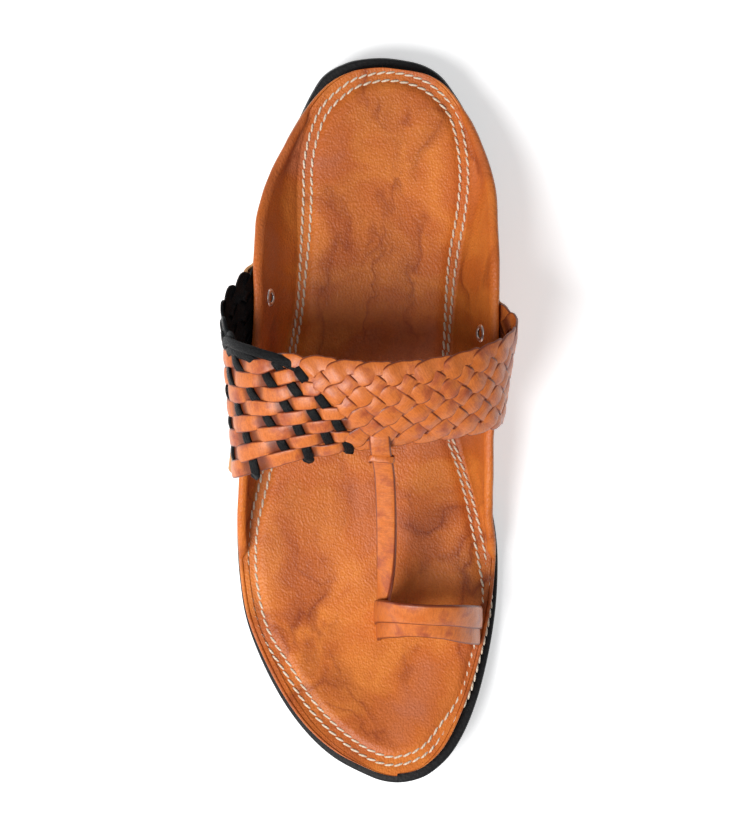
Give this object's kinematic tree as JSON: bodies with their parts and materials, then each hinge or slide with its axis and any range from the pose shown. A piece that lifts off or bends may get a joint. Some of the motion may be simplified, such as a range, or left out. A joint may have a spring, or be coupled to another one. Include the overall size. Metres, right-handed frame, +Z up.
{
  "type": "toe-loop sandal",
  "caption": "Flat leather sandal for the right foot with a woven instep band, an instep strap, a toe loop, raised footbed sides and a low rubber heel.",
  "frame": {"origin": "on the floor under the middle of the heel, 32 mm ahead of the sole's heel end", "axes": "+Y along the foot to the toe, +X to the outer side of the right foot, +Z up"},
  "size_m": [0.1126, 0.2729, 0.0876],
  "materials": {
    "rubber_black": "matt fine texture",
    "leather_tan": "marbled, satin",
    "leather_black": "glossy",
    "stitch_thread": "twisted thread",
    "rivet_metal": "satin"
  },
  "bodies": {
    "root": {"outsole": "rubber_black", "heel_lift": "rubber_black", "footbed": "leather_tan", "facing_lateral": "leather_tan", "facing_medial": "leather_tan", "woven_upper": "leather_tan", "rivet_lateral_front": "rivet_metal", "rivet_lateral_rear": "rivet_metal", "rivet_medial_front": "rivet_metal", "rivet_medial_rear": "rivet_metal"}
  },
  "joints": []
}
